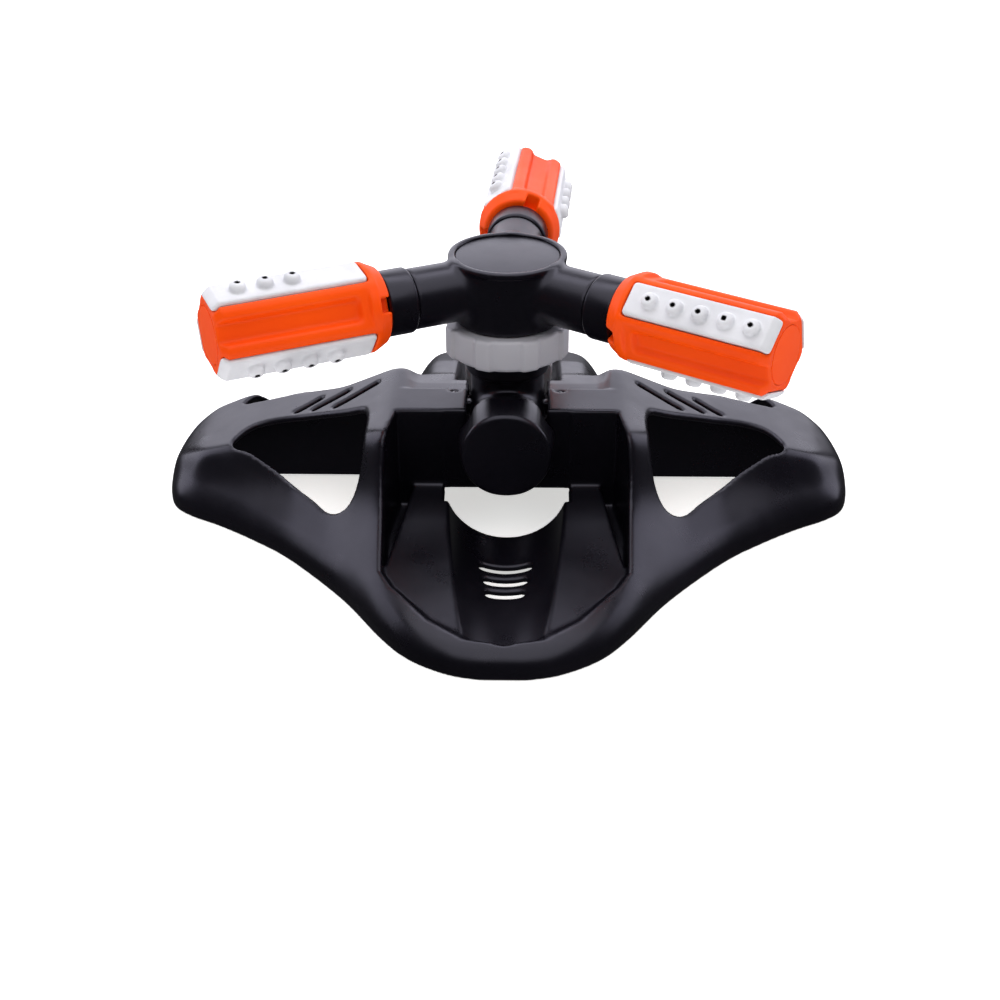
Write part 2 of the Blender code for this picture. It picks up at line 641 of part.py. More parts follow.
def rotor_hub():
    hub = turned("rotor_hub", [
        (0, TOTAL_HEIGHT), (19.5, TOTAL_HEIGHT), (HUB_R, 99.5), (HUB_R, 98), (19.2, 97.4),
        (17.9, RING_TOP + GAP + 0.5), (17.5, RING_TOP + GAP), (13.9, RING_TOP + GAP),
        (13.9, 73.6), (16.5, 73.6), (16.5, 71.8), (7.6, 71.8), (7.6, 65.4), (6, 65.4),
        (6, 62.6), (7.6, 62.6), (7.6, 60), (0, 60)], closed=False, mat=BLACK)
    for name in ARM_AZIMUTHS:
        stub = turned(f"stub_{name}", [
            (0, SPIGOT_END), (SPIGOT_R, SPIGOT_END), (SPIGOT_R, 57.4), (5.8, 57.4), (5.8, 54.6),
            (SPIGOT_R, 54.6), (SPIGOT_R, STUB_END), (STUB_R, STUB_END), (STUB_R, 3), (0, 3)],
            steps=20, closed=False, collection=CUTTERS)
        stub.matrix_world = arm_frame(name) @ AXIS_TURN["X"]
        boolean(hub, as_operand(stub), "UNION")
    middle = turned("hub_bore", [
        (0, 101), (17.7, 101), (17.7, 98), (15.2, 98), (15.2, 79.5), (5, 79.5), (5, 59), (0, 59)],
        closed=False, collection=CUTTERS)
    boolean(hub, as_operand(middle))
    for name in ARM_AZIMUTHS:
        bore = rod(f"arm_bore_{name}", ARM_BORE_R, 1, SPIGOT_END + 1, steps=12, collection=CUTTERS)
        bore.matrix_world = arm_frame(name) @ AXIS_TURN["X"]
        boolean(hub, as_operand(bore))
    turned("hub_cap", cylinder_profile(17.4, 98.3, 99.2), mat=BLACK, closed=False)


def hexagon_bar(name, apothem, start, end, collection):
    """Six-sided bar along X with a flat facing +Z, its outer end chamfered."""
    bm = bmesh.new()
    radius = apothem / math.cos(math.pi / 6) * MM
    depth = (end - start) * MM
    bmesh.ops.create_cone(bm, cap_ends=True, segments=6, radius1=radius, radius2=radius, depth=depth)
    bmesh.ops.rotate(bm, matrix=Matrix.Rotation(math.radians(30), 3, "Z"), verts=bm.verts)
    bmesh.ops.rotate(bm, matrix=Matrix.Rotation(math.radians(90), 3, "Y"), verts=bm.verts)
    bmesh.ops.translate(bm, vec=((start + end) / 2 * MM, 0, 0), verts=bm.verts)
    outer = [e for e in bm.edges if all(v.co.x > (end - 0.01) * MM for v in e.verts)]
    bmesh.ops.bevel(bm, geom=outer, offset=2.2 * MM, segments=1, affect="EDGES")
    return add_object(name, mesh_from_bmesh(name, bm), ORANGE, collection)


def around(obj, angle):
    """Turn an operand that was made facing +Z about the barrel's axis."""
    obj.matrix_world = Matrix.Rotation(math.radians(angle), 4, "X")
    return as_operand(obj)


def barrel_mesh():
    """Orange barrel in its own frame: X outwards, the 3-nozzle strip facing +Z."""
    barrel = hexagon_bar("barrel_blank", BARREL_APOTHEM, 51, BARREL_END, CUTTERS)
    collar = turned("barrel_collar", [
        (0, 56), (14, 56), (14.6, 52.5), (14.4, 50.8), (12.6, 49.2), (12.4, BARREL_START),
        (0, BARREL_START)], axis="X", closed=False, collection=CUTTERS)
    boolean(barrel, as_operand(collar), "UNION")
    half_seat = STRIP_WIDTH / 2 + GAP
    for strip in range(3):
        angle = 120 * strip
        seat = box(f"strip_seat_{strip}", (STRIP_START - GAP, -half_seat, SEAT_APOTHEM),
                   (BARREL_END + 1, half_seat, 20), CUTTERS)
        boolean(barrel, around(seat, angle))
        port = box(f"strip_port_{strip}", (60, -2, 5), (98, 2, 14), CUTTERS)
        boolean(barrel, around(port, angle))
        groove = box(f"panel_groove_{strip}", (57, -2.6, BARREL_APOTHEM - 1.6),
                     (99, 2.6, 20), CUTTERS)
        boolean(barrel, around(groove, angle + 60))
        notch = box(f"collar_notch_{strip}", (BARREL_START - 1, -2.4, 9), (50.3, 2.4, 20), CUTTERS)
        boolean(barrel, around(notch, angle + 60))
    bore = turned("barrel_bore", [
        (0, 105), (9.5, 105), (9.5, 100.5), (BARREL_BORE_R, 100.5), (BARREL_BORE_R, 60.8),
        (BARREL_BORE_R, 45), (0, 45)], axis="X", steps=20, closed=False, collection=CUTTERS)
    boolean(barrel, as_operand(bore))
    return evaluated_mesh(barrel, "barrel_body")


def strip_mesh(count):
    """Soft strip facing +Z in the barrel's frame, with its row of bored nozzles."""
    strip = box(f"strip_blank_{count}", (STRIP_START, -STRIP_WIDTH / 2, SEAT_APOTHEM + GAP),
                (BARREL_END + 0.3, STRIP_WIDTH / 2, STRIP_TOP), CUTTERS, WHITE)
    bevel = strip.modifiers.new("soft_edges", "BEVEL")
    bevel.width = 0.9 * MM
    bevel.segments = 1
    for i in range(count):
        x = (NOZZLE_ROWS[count] + i * NOZZLE_PITCH) * MM
        nozzle = turned(f"nozzle_{count}_{i}", [
            (0, STRIP_TOP + NOZZLE_HEIGHT), (NOZZLE_TIP_R, STRIP_TOP + NOZZLE_HEIGHT),
            (NOZZLE_BASE_R, STRIP_TOP + 1), (NOZZLE_BASE_R, STRIP_TOP - 1), (0, STRIP_TOP - 1)],
            steps=10, closed=False, collection=CUTTERS)
        hole = rod(f"nozzle_hole_{count}_{i}", NOZZLE_HOLE_R, 10, 20, steps=6, collection=CUTTERS)
        for operand in (nozzle, hole):
            operand.location = (x, 0, 0)
        boolean(strip, as_operand(nozzle), "UNION")
        boolean(strip, as_operand(hole))
    return evaluated_mesh(strip, f"nozzle_strip_{count}")


def evaluated_mesh(obj, name):
    """The object's finished mesh; the object itself stays hidden as a guide."""
    bpy.context.view_layer.update()
    depsgraph = bpy.context.evaluated_depsgraph_get()
    mesh = bpy.data.meshes.new_from_object(obj.evaluated_get(depsgraph))
    mesh.name = name
    as_operand(obj)
    return mesh


def barrels():
    body_mesh = barrel_mesh()
    strip_meshes = {count: strip_mesh(count) for count in NOZZLE_ROWS}
    for name in ARM_AZIMUTHS:
        axis = bpy.data.objects.new(f"barrel_{name}_axis", None)
        PARTS.objects.link(axis)
        # A roll of 90 degrees leaves the 3-nozzle strip facing up.
        roll = math.radians(ARM_ROLLS[name] - 90)
        axis.matrix_world = arm_frame(name) @ Matrix.Rotation(roll, 4, "X")
        body = add_object(f"barrel_body_{name}", body_mesh)
        body.parent = axis
        for place, count in enumerate(NOZZLE_ROWS):
            strip = add_object(f"nozzle_strip_{count}_{name}", strip_meshes[count])
            strip.parent = axis
            strip.matrix_local = Matrix.Rotation(math.radians(-120 * place), 4, "X")
        cap = turned(f"barrel_end_cap_{name}", [
            (0, 103.2), (9.2, 103.2), (9.2, 100.8), (7.3, 100.8), (7.3, 97.5), (0, 97.5)],
            mat=ORANGE, closed=False)
        cap.parent = axis
        cap.matrix_local = AXIS_TURN["X"]


def arm_pieces():
    for name in ARM_AZIMUTHS:
        sleeve = turned(f"arm_sleeve_{name}", [
            (7.5, SLEEVE_END), (10, SLEEVE_END), (SLEEVE_R, 45), (SLEEVE_R, STUB_END + GAP),
            (7.5, STUB_END + GAP)], mat=BLACK)
        sleeve.matrix_world = arm_frame(name) @ AXIS_TURN["X"]
        ring = torus(f"arm_o_ring_{name}", 6.7, 0.6, SEAL)
        ring.matrix_world = (arm_frame(name) @ Matrix.Translation((56 * MM, 0, 0))
                             @ AXIS_TURN["X"])


base_shell()
manifold()
manifold_screws()
retaining_ring()
spindle_seals()
outlet_cap()
inlet()
rotor_hub()
arm_pieces()
barrels()
bpy.context.view_layer.update()
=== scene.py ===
import math

import bpy
import numpy as np
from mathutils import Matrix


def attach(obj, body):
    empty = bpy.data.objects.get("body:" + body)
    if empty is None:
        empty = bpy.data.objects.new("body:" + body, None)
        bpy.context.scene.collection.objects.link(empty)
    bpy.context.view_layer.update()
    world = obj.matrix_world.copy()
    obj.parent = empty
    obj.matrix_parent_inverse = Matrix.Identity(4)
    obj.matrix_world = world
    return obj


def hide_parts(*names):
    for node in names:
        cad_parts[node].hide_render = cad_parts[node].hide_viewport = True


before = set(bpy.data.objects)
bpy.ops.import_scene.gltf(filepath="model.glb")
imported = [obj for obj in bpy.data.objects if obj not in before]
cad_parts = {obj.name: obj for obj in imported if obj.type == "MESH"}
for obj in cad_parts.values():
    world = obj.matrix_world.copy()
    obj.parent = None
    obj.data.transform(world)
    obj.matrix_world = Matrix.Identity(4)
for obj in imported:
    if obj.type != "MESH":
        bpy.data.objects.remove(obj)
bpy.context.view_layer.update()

import openvdb
from mathutils import Matrix, Vector

# Lengths below are millimetres in the frame's axes; MM turns them into metres.
MM = 0.001


# ============================================================ sizes
# The driving sizes of the CAD solids, with the finer ones that only show. RIDGE, FLAT_REAR,
# TONGUE_TOP, TROUGH_SLOT_WIDTH and RIB_END differ a little from the solids.
WALL = 2.4
RIM_HEIGHT = 7.0
ARM_Z = 89.5
ARM_AZIMUTHS = {"back": 86.0, "left": 206.0, "right": 326.0}
ARM_ROLLS = {"back": 293.0, "left": 82.0, "right": 13.0}
BARREL_START, BARREL_END = 46.5, 104.0
BARREL_APOTHEM = 13.15
SEAT_APOTHEM = 11.4
STRIP_WIDTH, STRIP_TOP, STRIP_START = 11.5, 14.5, 52.7
STRIP_GAP = 0.3
NOZZLE_PITCH = 8.9
# The first nozzle's place along the barrel, by the number of nozzles in the row.
NOZZLE_ROWS = {3: 76.0, 4: 66.2, 5: 61.0}
TUBE_Z, TUBE_R = 41.0, 13.0
SCREW_X, SCREW_Y = 18.5, -1.0
SCREW_HOLE_R, SCREW_PILOT_R = 1.6, 1.45

# The base in plan, for x of zero and above. The other half is its mirror image.
OUTLINE_FRONT = [(0, -105), (9, -104.6), (19, -101.6), (30.5, -94), (40, -82.4), (54.4, -60),
                 (74.7, -35.5), (89, -22.8), (103, -12.5), (114.5, -5.5), (121.5, 1.5)]
OUTLINE_TIP = [(124.6, 12), (124.6, 26), (121.5, 41)]
OUTLINE_REAR = [(114, 49.5), (98, 52.6), (80, 52), (66, 56), (54, 64), (46, 74), (39, 85),
                (30, 95), (17, 102.8), (0, 105)]
# Heights of the top along x, then the flat top's front and rear edges, then heights along y.
RIDGE = [(0, 50), (40, 50), (59, 40), (75, 33), (96, 26.5), (112, 20.5), (121, 15), (125, 11.5)]
FLAT_FRONT = [(0, -35), (42, -35), (50, -28), (60, -15), (75, -6), (95, -2), (112, 4), (125, 16)]
FLAT_REAR = [(0, 18), (35, 18), (60, 25), (75, 34.5), (88, 43), (99, 47), (112, 45), (120, 38),
             (125, 24)]
TONGUE_TOP = [(-20, 48.4), (0, 48.4), (8, 47.8), (40, 42.2), (75, 31), (90, 24), (99, 16), (105, 7)]

# The front well in plan, its ramp's heights along y, and what opens from it.
WELL = [(0, -18), (37.6, -18), (41, -38), (40.2, -66), (36.5, -73), (24, -88), (13, -96), (0, -98.6)]
RAMP = [(-105, 9), (-91, 10.5), (-67, 14), (-27, 20), (-18, 21)]
RAMP_FRONT, RAMP_BACK = -66, -18
POCKET_DROP = 8.0
TROUGH_R, TROUGH_Z = 21.0, 26.5
CHANNEL_R, CHANNEL_FRONT = 18.0, 14.0
POST_HOLE_HALF, POST_HOLE_FRONT, POST_HOLE_BACK = 14.0, -15.9, 16.0
FLOOR_HOLE_HALF, FLOOR_HOLE_FRONT, FLOOR_HOLE_BACK = 21.5, -27.0, -17.8
BULKHEAD_FRONT, BULKHEAD_BACK, BULKHEAD_HALF = -19.4, -14.4, 22.5
SADDLE_R, SADDLE_FOOT = 13.75, 19.6
# The sunk top behind the shelf, which climbs to each wing's top.
VALLEY_FRONT, VALLEY_FLOOR_HALF, VALLEY_BANK, VALLEY_BANK_TOP = 0.3, 31, 9, 51.5
WING_OPENING = [(98, 8), (91, 14.4), (76, 10.5), (56, -2), (49, -9), (48.4, -28), (53, -35),
                (60, -32.5), (68, -22.5), (79, -10.5), (91, -2.5), (98, 2)]
WING_SLOTS = [((62, 7), (46, 11)), ((70.4, 12), (57, 16.5)), ((77.4, 15.4), (67.7, 20))]
HALF_MOON = [(77, 33), (98, 36), (97, 41), (92, 43.6), (85, 42), (79.5, 38)]
TROUGH_SLOTS = [(-48.75, 18.0), (-56.75, 14.7), (-64.25, 13.0)]
SLOT_WIDTH, TROUGH_SLOT_WIDTH = 2.2, 3.5
RIB_Y, RIB_HALF, RIB_START, RIB_END = 26.0, 1.1, 44.0, 110.0
RIM_SPLIT_Y = 19
HILL_BLUR = 2.2


# ============================================================ plan curves
def table(points, x):
    """The value at x of a line through (x, value) points."""
    xs, ys = zip(*points)
    return np.interp(x, xs, ys)


def mirror_x(points):
    return points + [(-x, y) for x, y in points[-2:0:-1]]


def both_sides(points):
    """A closed loop and its mirror image."""
    return [list(points), [(-x, y) for x, y in reversed(points)]]


def smooth_loop(points, steps):
    """A closed Catmull-Rom curve through the points."""
    pts = [np.array(p, float) for p in points]
    n = len(pts)
    out = []
    for i in range(n):
        p0, p1, p2, p3 = (pts[(i + k - 1) % n] for k in range(4))
        for s in range(steps):
            t = s / steps
            point = 0.5 * (2 * p1 + (p2 - p0) * t + (2 * p0 - 5 * p1 + 4 * p2 - p3) * t ** 2
                           + (3 * p1 - p0 - 3 * p2 + p3) * t ** 3)
            out.append(tuple(point))
    return out


def loop_distance(points, x, y):
    """Signed distance in plan to a closed loop, negative inside."""
    best = np.full(x.shape, 1e9)
    inside = np.zeros(x.shape, bool)
    for (x0, y0), (x1, y1) in zip(points, points[1:] + points[:1]):
        dx, dy = x1 - x0, y1 - y0
        t = np.clip(((x - x0) * dx + (y - y0) * dy) / (dx * dx + dy * dy), 0, 1)
        best = np.minimum(best, (x - x0 - t * dx) ** 2 + (y - y0 - t * dy) ** 2)
        if y0 != y1:
            crosses = (y0 > y) != (y1 > y)
            inside ^= crosses & (x < x0 + (y - y0) * dx / dy)
    best = np.sqrt(best)
    return np.where(inside, -best, best)


def capsule_distance(start, end, width, x, y):
    """Signed distance in plan to a slot with round ends, negative inside."""
    (x0, y0), (x1, y1) = start, end
    dx, dy = x1 - x0, y1 - y0
    length = math.hypot(dx, dy)
    x0, y0 = x0 + dx / length * width / 2, y0 + dy / length * width / 2
    x1, y1 = x1 - dx / length * width / 2, y1 - dy / length * width / 2
    dx, dy = x1 - x0, y1 - y0
    t = np.clip(((x - x0) * dx + (y - y0) * dy) / (dx * dx + dy * dy), 0, 1)
    return np.hypot(x - x0 - t * dx, y - y0 - t * dy) - width / 2


# ============================================================ solid fields
# A solid is a function of x, y, z that is negative inside. join, keep and cut round the
# edge where two solids meet, like the fillets of a moulding.
BAND = 3             # voxels on either side of the surface that the grid holds
SETTLE_STEPS = 2     # moves of every vertex onto the surface
PROBE = 0.02         # step of the slope measure


def soft_max(a, b, r):
    blend = np.maximum(r - np.abs(a - b), 0) / r
    return np.maximum(a, b) + blend * blend * r / 4


def join(a, b, r):
    return -soft_max(-a, -b, r)


def keep(a, b, r):
    return soft_max(a, b, r)


def cut(a, b, r):
    return soft_max(a, -b, r)


def slab(value, low, high):
    return np.abs(value - (low + high) / 2) - (high - low) / 2


def tube(a, b, radius):
    return np.sqrt(a * a + b * b) - radius


def field_mesh(name, field, low, high, voxel):
    """Skin a solid field, then settle every vertex onto the field's zero surface."""
    axes = [np.arange(lo - 2 * voxel, hi + 2.5 * voxel, voxel) for lo, hi in zip(low, high)]
    x, y, z = np.meshgrid(*axes, indexing="ij", sparse=True)
    values = np.ascontiguousarray(field(x, y, z), dtype=np.float32)
    values = np.clip(values, -BAND * voxel, BAND * voxel)
    grid = openvdb.FloatGrid(BAND * voxel)
    grid.copyFromArray(values)
    points, quads = grid.convertToQuads(0.0)
    points = points.astype(np.float64) * voxel + np.array([a[0] for a in axes])
    for _ in range(SETTLE_STEPS):
        px, py, pz = points[:, 0], points[:, 1], points[:, 2]
        base = field(px, py, pz)
        grad = np.stack([field(px + PROBE, py, pz) - base, field(px, py + PROBE, pz) - base,
                         field(px, py, pz + PROBE) - base], axis=1) / PROBE
        steepness = np.maximum((grad ** 2).sum(axis=1), 0.2)
        move = np.clip(base / steepness, -0.6 * voxel, 0.6 * voxel)
        points = points - grad * move[:, None]
    corners = points[quads]
    normal = np.cross(corners[:, 2] - corners[:, 0], corners[:, 3] - corners[:, 1])
    centre = corners.mean(axis=1)
    step = normal / np.maximum(np.linalg.norm(normal, axis=1, keepdims=True), 1e-9) * 0.1
    ahead = field(*(centre + step).T) - field(*(centre - step).T)
    if np.median(ahead) < 0:
        quads = quads[:, ::-1]
    mesh = bpy.data.meshes.new(name)
    mesh.vertices.add(len(points))
    mesh.vertices.foreach_set("co", (points * MM).astype(np.float32).ravel())
    mesh.loops.add(quads.size)
    mesh.loops.foreach_set("vertex_index", quads.astype(np.int32).ravel())
    mesh.polygons.add(len(quads))
    mesh.polygons.foreach_set("loop_start", np.arange(0, quads.size, 4, dtype=np.int32))
    mesh.update(calc_edges=True)
    mesh.validate()
    mesh.shade_smooth()
    return mesh


def rounded_profile(points, radius, closed, steps=4):
    """Round the corners of a turned profile of (radius, height) points."""
    pts = [np.array(p, float) for p in points]
    out = []
    n = len(pts)
    for i, p in enumerate(pts):
        if not closed and i in (0, n - 1):
            out.append(p)
            continue
        a, b = pts[i - 1] - p, pts[(i + 1) % n] - p
        la, lb = np.linalg.norm(a), np.linalg.norm(b)
        reach = min(radius, la * 0.45, lb * 0.45)
        start, end = p + a / la * reach, p + b / lb * reach
        for s in range(steps + 1):
            t = s / steps
            out.append((1 - t) ** 2 * start + 2 * t * (1 - t) * p + t * t * end)
    return out


def turned_mesh(name, profile, radius=0.4, closed=True, steps=96, shape=None):
    """Turn a (radius, height) profile about Z. shape(r, z, angle) may change the radius."""
    pts = rounded_profile(profile, radius, closed)
    angles = np.arange(steps) * 2 * math.pi / steps
    verts, rings = [], []
    for r, z in pts:
        if r < 1e-6:
            rings.append([len(verts)])
            verts.append((0, 0, z * MM))
            continue
        radii = np.full(steps, r) if shape is None else shape(r, z, angles)
        rings.append(list(range(len(verts), len(verts) + steps)))
        verts += [(q * math.cos(a) * MM, q * math.sin(a) * MM, z * MM) for q, a in zip(radii, angles)]
    faces = []
    pairs = list(zip(rings, rings[1:])) + ([(rings[-1], rings[0])] if closed else [])
    for upper, lower in pairs:
        for i in range(steps):
            j = (i + 1) % steps
            if len(upper) == 1:
                faces.append((upper[0], lower[i], lower[j]))
            elif len(lower) == 1:
                faces.append((upper[i], lower[0], upper[j]))
            else:
                faces.append((upper[i], lower[i], lower[j], upper[j]))
    mesh = bpy.data.meshes.new(name)
    mesh.from_pydata(verts, [], faces)
    mesh.validate()
    mesh.shade_smooth()
    mesh.set_sharp_from_angle(angle=math.radians(50))
    return mesh


# From a piece turned about Z to one that lies along X or Y.
TURN = {
    "X": Matrix.Rotation(math.radians(90), 4, "Y"),
    "Y": Matrix.Rotation(math.radians(-90), 4, "X"),
}


def place(name, mesh, mat, body, replaced, matrix=None):
    obj = bpy.data.objects.new(name, mesh)
    bpy.context.scene.collection.objects.link(obj)
    if not mesh.materials:
        mesh.materials.append(mat)
    if matrix is not None:
        obj.matrix_world = matrix
    bpy.context.view_layer.update()
    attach(obj, body)
    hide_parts(replaced)


# ============================================================ materials
EDGE_WEAR = 0.35


def node_material(name):
    mat = bpy.data.materials.new(name)
    mat.use_nodes = True
    return mat, mat.node_tree.nodes, mat.node_tree.links, mat.node_tree.nodes["Principled BSDF"]


def noise(nodes, links, coords, scale, detail=4.0, roughness=0.5):
    tex = nodes.new("ShaderNodeTexNoise")
    tex.inputs["Scale"].default_value = scale
    tex.inputs["Detail"].default_value = detail
    tex.inputs["Roughness"].default_value = roughness
    links.new(coords, tex.inputs["Vector"])
    return tex.outputs["Fac"]


def ramp(nodes, links, source, stops):
    """A colour ramp between two (position, colour) stops."""
    node = nodes.new("ShaderNodeValToRGB")
    for element, (place_at, colour) in zip(node.color_ramp.elements, stops):
        element.position = place_at
        element.color = (*colour, 1.0)
    links.new(source, node.inputs["Fac"])
    return node.outputs["Color"]


def remap(nodes, links, source, low, high, out_low, out_high):
    node = nodes.new("ShaderNodeMapRange")
    node.inputs["From Min"].default_value = low
    node.inputs["From Max"].default_value = high
    node.inputs["To Min"].default_value = out_low
    node.inputs["To Max"].default_value = out_high
    links.new(source, node.inputs["Value"])
    return node.outputs["Result"]


def mix_colour(nodes, links, factor, a, b):
    """A mix of two colours, each a tuple or a socket."""
    node = nodes.new("ShaderNodeMix")
    node.data_type = "RGBA"
    links.new(factor, node.inputs["Factor"])
    for socket, value in ((node.inputs[6], a), (node.inputs[7], b)):
        if isinstance(value, tuple):
            socket.default_value = (*value, 1.0)
        else:
            links.new(value, socket)
    return node.outputs[2]


def bump(nodes, links, shader, height, strength, distance):
    node = nodes.new("ShaderNodeBump")
    node.inputs["Strength"].default_value = strength
    node.inputs["Distance"].default_value = distance
    links.new(height, node.inputs["Height"])
    links.new(node.outputs["Normal"], shader.inputs["Normal"])


def moulded_plastic(name, dark, light, worn, rough, grain, specular=0.5, tint=(1, 1, 1)):
    """Moulded plastic: slight colour flow, a fine grain, rubbed edges and uneven gloss."""
    mat, nodes, links, shader = node_material(name)
    coords = nodes.new("ShaderNodeTexCoord").outputs["Object"]
    flow = noise(nodes, links, coords, 22, 3)
    colour = ramp(nodes, links, flow, [(0.32, dark), (0.7, light)])
    pointy = nodes.new("ShaderNodeNewGeometry").outputs["Pointiness"]
    edge = remap(nodes, links, pointy, 0.52, 0.62, 0, EDGE_WEAR)
    breakup = noise(nodes, links, coords, 260, 5, 0.6)
    edge_mask = nodes.new("ShaderNodeMath")
    edge_mask.operation = "MULTIPLY"
    links.new(edge, edge_mask.inputs[0])
    links.new(breakup, edge_mask.inputs[1])
    links.new(mix_colour(nodes, links, edge_mask.outputs[0], colour, worn), shader.inputs["Base Color"])
    smudge = noise(nodes, links, coords, 55, 6, 0.65)
    links.new(remap(nodes, links, smudge, 0.3, 0.75, rough - 0.05, rough + 0.07),
              shader.inputs["Roughness"])
    shader.inputs["Specular IOR Level"].default_value = specular
    shader.inputs["Specular Tint"].default_value = (*tint, 1.0)
    bump(nodes, links, shader, noise(nodes, links, coords, grain, 3, 0.6), 0.16, 0.00006)
    return mat


def soft_rubber(name, dark, light, rough, shade_bores=False):
    """Soft moulded rubber: slightly dusty, matt, with a faint orange-peel surface. It can also paint
    the nozzles' bores near black, as painted shade in the holes.
    """
    mat, nodes, links, shader = node_material(name)
    coords = nodes.new("ShaderNodeTexCoord").outputs["Object"]
    dust = noise(nodes, links, coords, 70, 5, 0.6)
    colour = ramp(nodes, links, dust, [(0.3, dark), (0.68, light)])
    # Painted shade: vertices marked as inside the nozzles' bores get a near-black colour in place of
    # the shade that falls in the holes.
    if shade_bores:
        bore_shade_mask = nodes.new("ShaderNodeAttribute")
        bore_shade_mask.attribute_name = "bore"
        colour = mix_colour(nodes, links, bore_shade_mask.outputs["Fac"], colour, (0.004, 0.004, 0.004))
    links.new(colour, shader.inputs["Base Color"])
    links.new(remap(nodes, links, dust, 0.3, 0.7, rough - 0.06, rough + 0.08),
              shader.inputs["Roughness"])
    shader.inputs["Subsurface Weight"].default_value = 0.04
    shader.inputs["Subsurface Radius"].default_value = (0.002, 0.002, 0.002)
    bump(nodes, links, shader, noise(nodes, links, coords, 900, 3, 0.6), 0.18, 0.00005)
    return mat


def brushed_steel(name):
    mat, nodes, links, shader = node_material(name)
    coords = nodes.new("ShaderNodeTexCoord").outputs["Object"]
    lines = noise(nodes, links, coords, 1800, 2)
    links.new(ramp(nodes, links, lines, [(0.3, (0.16, 0.16, 0.17)), (0.7, (0.34, 0.34, 0.36))]),
              shader.inputs["Base Color"])
    shader.inputs["Metallic"].default_value = 1.0
    links.new(remap(nodes, links, lines, 0.3, 0.7, 0.3, 0.45), shader.inputs["Roughness"])
    bump(nodes, links, shader, lines, 0.15, 0.00004)
    return mat


BLACK = moulded_plastic("black_plastic", (0.0016, 0.0013, 0.0026), (0.0034, 0.0028, 0.0052),
                        (0.012, 0.011, 0.015), 0.30, 1500, specular=0.42, tint=(0.84, 0.82, 1.0))
GREY = moulded_plastic("grey_plastic", (0.33, 0.325, 0.36), (0.41, 0.405, 0.44),
                       (0.42, 0.42, 0.45), 0.36, 1300)
ORANGE = moulded_plastic("orange_plastic", (0.84, 0.060, 0.0003), (0.92, 0.080, 0.0006),
                         (1.0, 0.22, 0.02), 0.42, 1400, specular=0.14)
# The nozzle rubber has its bores painted near black: painted shade.
RUBBER = soft_rubber("nozzle_rubber", (0.60, 0.60, 0.63), (0.72, 0.72, 0.75), 0.5, shade_bores=True)
SEAL = soft_rubber("seal_rubber", (0.012, 0.012, 0.013), (0.028, 0.028, 0.03), 0.62)
WASHER = moulded_plastic("washer_plastic", (0.62, 0.62, 0.6), (0.74, 0.74, 0.72),
                         (0.85, 0.85, 0.83), 0.42, 1200)
STEEL = brushed_steel("screw_steel")


# ============================================================ base moulding
OUTLINE = smooth_loop(mirror_x(OUTLINE_FRONT + OUTLINE_TIP + OUTLINE_REAR), 6)
WELL_LOOP = mirror_x(WELL)
OPENING_LOOPS = both_sides(smooth_loop(WING_OPENING, 4)) + both_sides(smooth_loop(HALF_MOON, 3))


def oblong(half, front, back):
    return [(-half, front), (half, front), (half, back), (-half, back)]


POST_HOLE = oblong(POST_HOLE_HALF, POST_HOLE_FRONT, POST_HOLE_BACK)
FLOOR_HOLE = oblong(FLOOR_HOLE_HALF, FLOOR_HOLE_FRONT, FLOOR_HOLE_BACK)


def rim_curve(side):
    """The outline's front (-1) or rear (1) edge as y over x."""
    points = {round(x, 3): y for x, y in OUTLINE if x >= 0 and side * (y - RIM_SPLIT_Y) >= 0}
    return sorted(points.items())


RIM_FRONT, RIM_REAR = rim_curve(-1), rim_curve(1)


def flank(t):
    """The rise of the base's side from its rim (0) to its flat top (1)."""
    t = np.clip(t, 0, 1)
    return 0.6 * t ** 0.9 + 0.4 * t ** 8


def raw_hill(x, y, edge):
    """Top of the base without its wells; edge is the distance in from the outline."""
    ax = np.abs(x)
    rise = table(RIDGE, ax) - RIM_HEIGHT
    rim_front, rim_rear = table(RIM_FRONT, ax), table(RIM_REAR, ax)
    flat_front, flat_rear = table(FLAT_FRONT, ax), table(FLAT_REAR, ax)
    front = flank((y - rim_front) / np.maximum(flat_front - rim_front, 1))
    rear = flank((rim_rear - y) / np.maximum(rim_rear - flat_rear, 1))
    wing = RIM_HEIGHT + rise * np.minimum(front, rear)
    side = np.clip((50 - ax) / 24, 0, 1)
    side = side * side * (3 - 2 * side)
    tongue = RIM_HEIGHT + (table(TONGUE_TOP, y) - RIM_HEIGHT) * side * flank(0.35 + edge / 30)
    tongue = np.where(y > -10, tongue, 0)
    return np.maximum(wing, tongue)


MAP_STEP = 0.5
MAP_X = np.arange(-140, 140 + MAP_STEP / 2, MAP_STEP)
MAP_Y = np.arange(-120, 120 + MAP_STEP / 2, MAP_STEP)


def blurred(values, sigma):
    """Gaussian blur along both axes, with the border repeated."""
    reach = int(3 * sigma / MAP_STEP)
    taps = np.exp(-0.5 * (np.arange(-reach, reach + 1) * MAP_STEP / sigma) ** 2)
    taps /= taps.sum()
    for axis in (0, 1):
        padded = np.pad(values, [(reach, reach) if a == axis else (0, 0) for a in (0, 1)], mode="edge")
        values = sum(w * np.take(padded, np.arange(values.shape[axis]) + i, axis=axis)
                     for i, w in enumerate(taps))
    return values


def sample(values, x, y):
    """Bilinear value of a map over plan positions."""
    i = np.clip((x - MAP_X[0]) / MAP_STEP, 0, len(MAP_X) - 2)
    j = np.clip((y - MAP_Y[0]) / MAP_STEP, 0, len(MAP_Y) - 2)
    i0, j0 = i.astype(int), j.astype(int)
    fi, fj = i - i0, j - j0
    return ((values[i0, j0] * (1 - fi) + values[i0 + 1, j0] * fi) * (1 - fj)
            + (values[i0, j0 + 1] * (1 - fi) + values[i0 + 1, j0 + 1] * fi) * fj)


